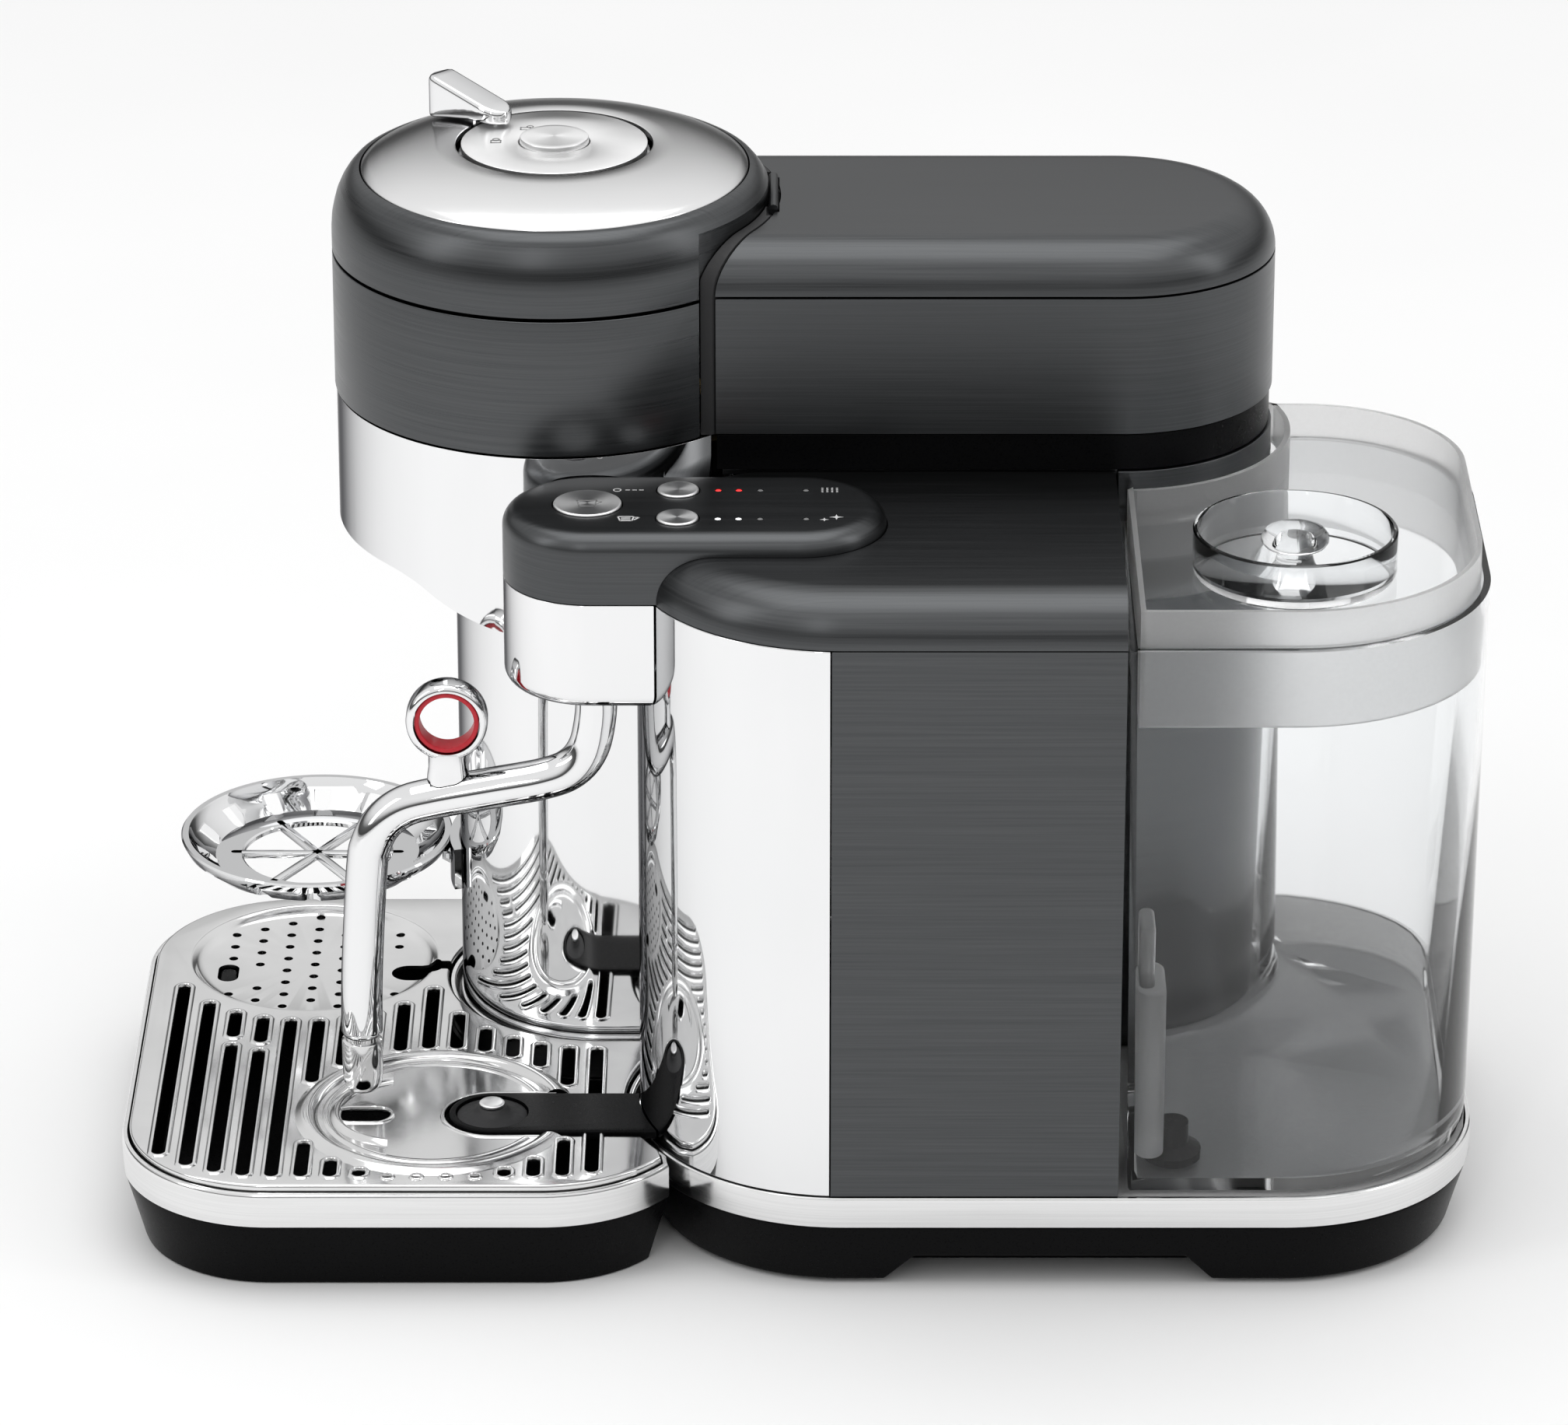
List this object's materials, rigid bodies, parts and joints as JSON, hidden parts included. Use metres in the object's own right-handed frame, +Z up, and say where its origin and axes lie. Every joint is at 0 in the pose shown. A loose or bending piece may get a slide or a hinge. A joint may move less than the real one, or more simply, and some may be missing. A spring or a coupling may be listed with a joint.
{
  "type": "pod coffee machine",
  "caption": "Capsule coffee machine with a hinged brew head, steam wand, milk jug rest, drip tray, used-capsule container and rear water tank.",
  "frame": {"origin": "on the table, at the centre of the overall box", "axes": "+X towards the back (water tank), +Z up, -Y towards the milk side"},
  "size_m": [0.424, 0.226, 0.3348],
  "materials": {
    "dark_steel": "dark brushed stainless steel, satin",
    "chrome": "mirror polished",
    "brushed_steel": "spun brushed",
    "polished_steel": "polished pressed steel",
    "black_plastic": "fine satin moulded plastic",
    "clear_plastic": "clear moulded plastic",
    "red_silicone": "soft silicone",
    "black_rubber": "matte rubber",
    "light_window": "clear light guide",
    "circuit_board": "coated board",
    "brass": "turned brass"
  },
  "bodies": {
    "machine": {"base_plinth": "black_plastic", "base_band": "chrome", "base_deck": "black_plastic", "foot_front": "black_rubber", "foot_rear": "black_rubber", "front_wrap": "chrome", "side_panel": "dark_steel", "top_cover": "dark_steel", "brew_column": "chrome", "rear_column": "dark_steel", "arm_skirt": "black_plastic", "control_pod": "dark_steel", "lights_near": "light_window", "lights_far": "light_window", "panel_board": "circuit_board", "steam_housing": "chrome", "head_drum": "dark_steel", "head_bowl": "chrome", "coffee_spout": "black_plastic", "frame_gasket": "black_rubber", "holder_bearing": "brushed_steel", "spin_motor": "brushed_steel", "drive_belt": "black_rubber", "sensor_arm": "black_plastic", "steam_boiler": "brushed_steel", "water_pump": "black_plastic", "brew_heater": "brushed_steel", "water_pipe": "clear_plastic", "power_inlet": "black_plastic"},
    "lid": {"lid_shoulder": "dark_steel", "lid_dome": "chrome", "lid_disc": "brushed_steel", "lid_cap": "brushed_steel", "piercing_plate": "brushed_steel", "lid_hinge_pin": "brushed_steel"},
    "lever": {"lock_lever": "chrome"},
    "holder": {"capsule_holder": "brushed_steel", "holder_pulley": "black_plastic"},
    "motor_drive": {"motor_pulley": "brass"},
    "container": {"container_shell": "dark_steel", "container_cover": "dark_steel", "capsule_bin": "black_plastic"},
    "coffee_key": {"coffee_button": "brushed_steel"},
    "temperature_key": {"temperature_button": "brushed_steel"},
    "froth_key": {"froth_button": "brushed_steel"},
    "wand": {"wand_joint": "brushed_steel", "wand_pipe": "chrome", "wand_tip": "brushed_steel", "ring_handle": "chrome", "ring_grip": "red_silicone"},
    "cup_rest": {"cup_support": "chrome"},
    "drip_tray": {"tray_base": "black_plastic", "tray_band": "chrome", "drip_grid": "polished_steel"},
    "float": {"tray_float": "red_silicone"},
    "milk_sensor": {"sensor_cone": "black_rubber", "sensor_tip": "brushed_steel"},
    "tank": {"tank_shell": "clear_plastic", "tank_valve": "black_plastic"},
    "tank_cover": {"tank_lid": "clear_plastic"}
  },
  "joints": [
    {"name": "lid_hinge", "type": "hinge", "parent": "machine", "child": "lid", "pos_m": [-0.0077, 0.043, 0.3056], "axis": [0, 1, 0], "range_deg": [0, 50]},
    {"name": "lever_turn", "type": "hinge", "parent": "lid", "child": "lever", "pos_m": [-0.076, 0.043, 0.322], "axis": [0, 0, 1], "range_deg": [0, 45]},
    {"name": "holder_spin", "type": "hinge", "parent": "machine", "child": "holder", "pos_m": [-0.076, 0.043, 0.26], "axis": [0, 0, 1], "continuous": true},
    {"name": "motor_spin", "type": "hinge", "parent": "machine", "child": "motor_drive", "pos_m": [-0.031, 0.043, 0.238], "axis": [0, 0, 1], "continuous": true},
    {"name": "container_slide", "type": "slide", "parent": "machine", "child": "container", "axis": [1, 0, 0], "range_m": [0, 0.12]},
    {"name": "coffee_key_press", "type": "slide", "parent": "machine", "child": "coffee_key", "axis": [0, 0, -1], "range_m": [0, 0.001], "stiffness_N_per_m": 500, "springref_m": -0.001},
    {"name": "temperature_key_press", "type": "slide", "parent": "machine", "child": "temperature_key", "axis": [0, 0, -1], "range_m": [0, 0.001], "stiffness_N_per_m": 500, "springref_m": -0.001},
    {"name": "froth_key_press", "type": "slide", "parent": "machine", "child": "froth_key", "axis": [0, 0, -1], "range_m": [0, 0.001], "stiffness_N_per_m": 500, "springref_m": -0.001},
    {"name": "wand_swing", "type": "hinge", "parent": "machine", "child": "wand", "pos_m": [-0.0625, -0.0495, 0.186], "axis": [0, 1, 0], "range_deg": [0, 26]},
    {"name": "cup_rest_height", "type": "slide", "parent": "machine", "child": "cup_rest", "axis": [0, 0, 1], "range_m": [-0.03, 0.05]},
    {"name": "tray_slide", "type": "slide", "parent": "machine", "child": "drip_tray", "axis": [-1, 0, 0], "range_m": [0, 0.18]},
    {"name": "float_rise", "type": "slide", "parent": "drip_tray", "child": "float", "axis": [0, 0, 1], "range_m": [0, 0.006]},
    {"name": "milk_sensor_press", "type": "slide", "parent": "machine", "child": "milk_sensor", "axis": [0, 0, -1], "range_m": [0, 0.001], "stiffness_N_per_m": 500, "springref_m": -0.001},
    {"name": "tank_slide", "type": "slide", "parent": "machine", "child": "tank", "axis": [1, 0, 0], "range_m": [0, 0.12]},
    {"name": "tank_cover_lift", "type": "slide", "parent": "tank", "child": "tank_cover", "axis": [0, 0, 1], "range_m": [0, 0.05]}
  ],
  "couplings": [
    {"joint": "motor_spin", "follows": "holder_spin", "ratio": 2}
  ]
}
